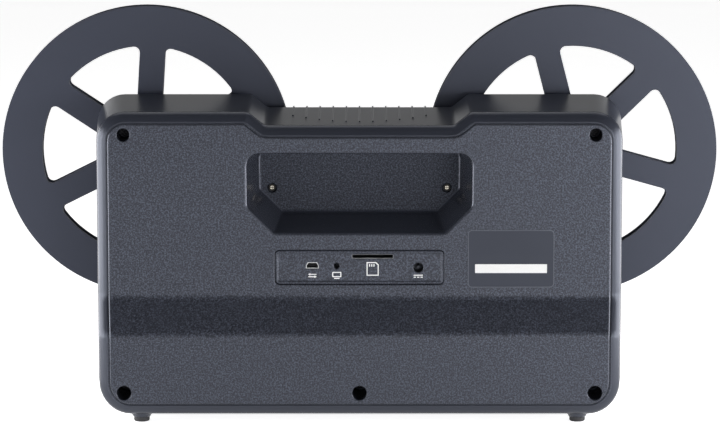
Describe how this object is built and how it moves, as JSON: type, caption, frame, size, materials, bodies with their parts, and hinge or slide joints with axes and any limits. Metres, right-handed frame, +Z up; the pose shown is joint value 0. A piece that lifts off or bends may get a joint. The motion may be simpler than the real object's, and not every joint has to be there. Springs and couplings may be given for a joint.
{
  "type": "film scanner",
  "caption": "Tabletop scanner for small-gauge cine film: moulded housing with a finger recess and port plate, reels on spindles, film gate with a hinged lamp door, rollers and keys.",
  "frame": {"origin": "centre of the bounding box at the underside of the feet", "axes": "+Z up, the film side faces -Y, the ports face +Y, the take-up reel is at +X"},
  "size_m": [0.4388, 0.118, 0.24],
  "materials": {
    "housing": "fine spark-eroded grain",
    "reel": "satin",
    "rubber": "matte",
    "steel": "satin",
    "brass": "satin",
    "board": "solder mask",
    "black_plastic": "satin",
    "window": "gloss",
    "display": "gloss",
    "lens": "polished",
    "diffuser": "opal",
    "white_plastic": "satin",
    "felt": "felt"
  },
  "bodies": {
    "body": {"rear_cover": "housing", "front_shell": "housing", "port_plate": "housing", "feet": "rubber", "cover_screws": "steel", "recess_screws": "brass", "main_board": "board", "usb_socket": "steel", "av_socket": "black_plastic", "card_socket": "steel", "power_socket": "black_plastic", "display_window": "window", "display_module": "display", "front_board": "board", "key_switches": "black_plastic", "board_screws": "steel", "spindle_bushes": "brass", "drag_washer": "felt", "takeup_motor": "steel", "drive_bracket": "steel", "bracket_screws": "steel", "roller_posts": "steel", "gate_block": "housing", "gate_plate": "steel", "gate_screws": "steel", "camera_board": "board", "lens_barrel": "black_plastic", "lens_glass": "lens", "claw_drive": "black_plastic", "hinge_pin": "steel"},
    "supply_spindle": {"supply_spindle": "black_plastic", "supply_clip": "steel"},
    "takeup_spindle": {"takeup_spindle": "black_plastic", "takeup_clip": "steel", "takeup_gear": "white_plastic"},
    "supply_reel": {"supply_reel_back": "reel", "supply_reel_front": "reel"},
    "takeup_reel": {"takeup_reel_back": "reel", "takeup_reel_front": "reel"},
    "pinion": {"motor_pinion": "brass", "motor_shaft": "steel"},
    "guide_roller_1": {"guide_roller_1": "white_plastic"},
    "guide_roller_2": {"guide_roller_2": "white_plastic"},
    "guide_roller_3": {"guide_roller_3": "white_plastic"},
    "guide_roller_4": {"guide_roller_4": "white_plastic"},
    "gate_door": {"gate_door": "housing", "light_board": "board", "light_diffuser": "diffuser", "pressure_pad": "black_plastic"},
    "claw": {"claw": "steel"},
    "film_selector": {"film_selector": "black_plastic"},
    "power_key": {"power_key": "black_plastic"},
    "back_key": {"back_key": "black_plastic"},
    "up_key": {"up_key": "black_plastic"},
    "down_key": {"down_key": "black_plastic"},
    "ok_key": {"ok_key": "black_plastic"}
  },
  "joints": [
    {"name": "supply_spin", "type": "hinge", "parent": "body", "child": "supply_spindle", "pos_m": [-0.1305, -0.0275, 0.1511], "axis": [0, 1, 0], "continuous": true},
    {"name": "takeup_spin", "type": "hinge", "parent": "body", "child": "takeup_spindle", "pos_m": [0.1305, -0.0275, 0.1511], "axis": [0, 1, 0], "continuous": true},
    {"name": "supply_reel_slide", "type": "slide", "parent": "supply_spindle", "child": "supply_reel", "axis": [0, -1, 0], "range_m": [0, 0.02]},
    {"name": "takeup_reel_slide", "type": "slide", "parent": "takeup_spindle", "child": "takeup_reel", "axis": [0, -1, 0], "range_m": [0, 0.02]},
    {"name": "pinion_spin", "type": "hinge", "parent": "body", "child": "pinion", "pos_m": [0.11, 0, 0.1511], "axis": [0, 1, 0], "continuous": true},
    {"name": "roller_1_spin", "type": "hinge", "parent": "body", "child": "guide_roller_1", "pos_m": [-0.105, -0.045, 0.0404], "axis": [0, 1, 0], "continuous": true},
    {"name": "roller_2_spin", "type": "hinge", "parent": "body", "child": "guide_roller_2", "pos_m": [-0.062, -0.045, 0.0434], "axis": [0, 1, 0], "continuous": true},
    {"name": "roller_3_spin", "type": "hinge", "parent": "body", "child": "guide_roller_3", "pos_m": [0.062, -0.045, 0.0434], "axis": [0, 1, 0], "continuous": true},
    {"name": "roller_4_spin", "type": "hinge", "parent": "body", "child": "guide_roller_4", "pos_m": [0.105, -0.045, 0.0404], "axis": [0, 1, 0], "continuous": true},
    {"name": "door_hinge", "type": "hinge", "parent": "body", "child": "gate_door", "pos_m": [0, -0.031, 0.0612], "axis": [-1, 0, 0], "range_deg": [0, 90]},
    {"name": "claw_slide", "type": "slide", "parent": "body", "child": "claw", "axis": [1, 0, 0], "range_m": [-0.0021, 0.0021]},
    {"name": "selector_slide", "type": "slide", "parent": "body", "child": "film_selector", "axis": [1, 0, 0], "range_m": [0, 0.008]},
    {"name": "power_press", "type": "slide", "parent": "body", "child": "power_key", "axis": [0, 1, 0], "range_m": [0, 0.0008], "stiffness_N_per_m": 1000},
    {"name": "back_press", "type": "slide", "parent": "body", "child": "back_key", "axis": [0, 1, 0], "range_m": [0, 0.0008], "stiffness_N_per_m": 1000},
    {"name": "up_press", "type": "slide", "parent": "body", "child": "up_key", "axis": [0, 1, 0], "range_m": [0, 0.0008], "stiffness_N_per_m": 1000},
    {"name": "down_press", "type": "slide", "parent": "body", "child": "down_key", "axis": [0, 1, 0], "range_m": [0, 0.0008], "stiffness_N_per_m": 1000},
    {"name": "ok_press", "type": "slide", "parent": "body", "child": "ok_key", "axis": [0, 1, 0], "range_m": [0, 0.0008], "stiffness_N_per_m": 1000}
  ],
  "couplings": [
    {"joint": "pinion_spin", "follows": "takeup_spin", "ratio": -2.4}
  ]
}
